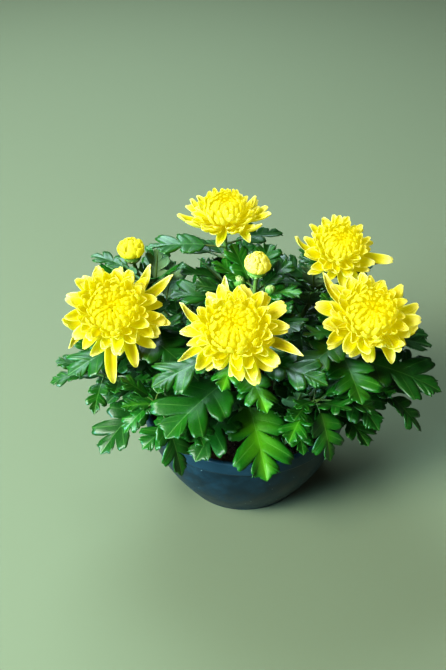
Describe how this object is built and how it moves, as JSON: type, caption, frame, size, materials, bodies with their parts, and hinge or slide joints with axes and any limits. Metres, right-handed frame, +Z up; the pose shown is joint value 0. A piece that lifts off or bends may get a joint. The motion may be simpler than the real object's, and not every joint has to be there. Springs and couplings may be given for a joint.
{
  "type": "pot chrysanthemum",
  "caption": "Bushy pot chrysanthemum with double yellow blooms, opening buds and lobed green leaves, growing in soil in a round dark plastic bowl pot.",
  "frame": {"origin": "centre of the pot's flat base, where it rests", "axes": "+Z up; the front of the plant, as the picture shows it, faces -Y; +X is to the right seen from the front"},
  "size_m": [0.2702, 0.238, 0.2187],
  "materials": {
    "pot_plastic": "moulded polypropylene, dark navy black, satin",
    "soil": "moist peat potting soil",
    "petals": "fresh lemon yellow petals",
    "opening_petals": "pale yellow closed petals",
    "leaves": "glossy dark green leaves and stems"
  },
  "bodies": {
    "root": {"pot": "pot_plastic", "soil": "soil", "bloom_left": "petals", "bloom_centre": "petals", "bloom_right": "petals", "bloom_upper_right": "petals", "bloom_top": "petals", "bud_left": "opening_petals", "bud_centre": "opening_petals", "stem_left": "leaves", "stem_centre": "leaves", "stem_right": "leaves", "stem_upper_right": "leaves", "stem_top": "leaves", "stem_left_bud": "leaves", "stem_centre_bud": "leaves", "stem_front_left": "leaves", "stem_front_right": "leaves", "stem_far_left": "leaves", "stem_far_right": "leaves", "stem_side_left": "leaves", "stem_side_right": "leaves", "stem_back_left": "leaves", "stem_back_right": "leaves", "stem_back": "leaves"}
  },
  "joints": []
}
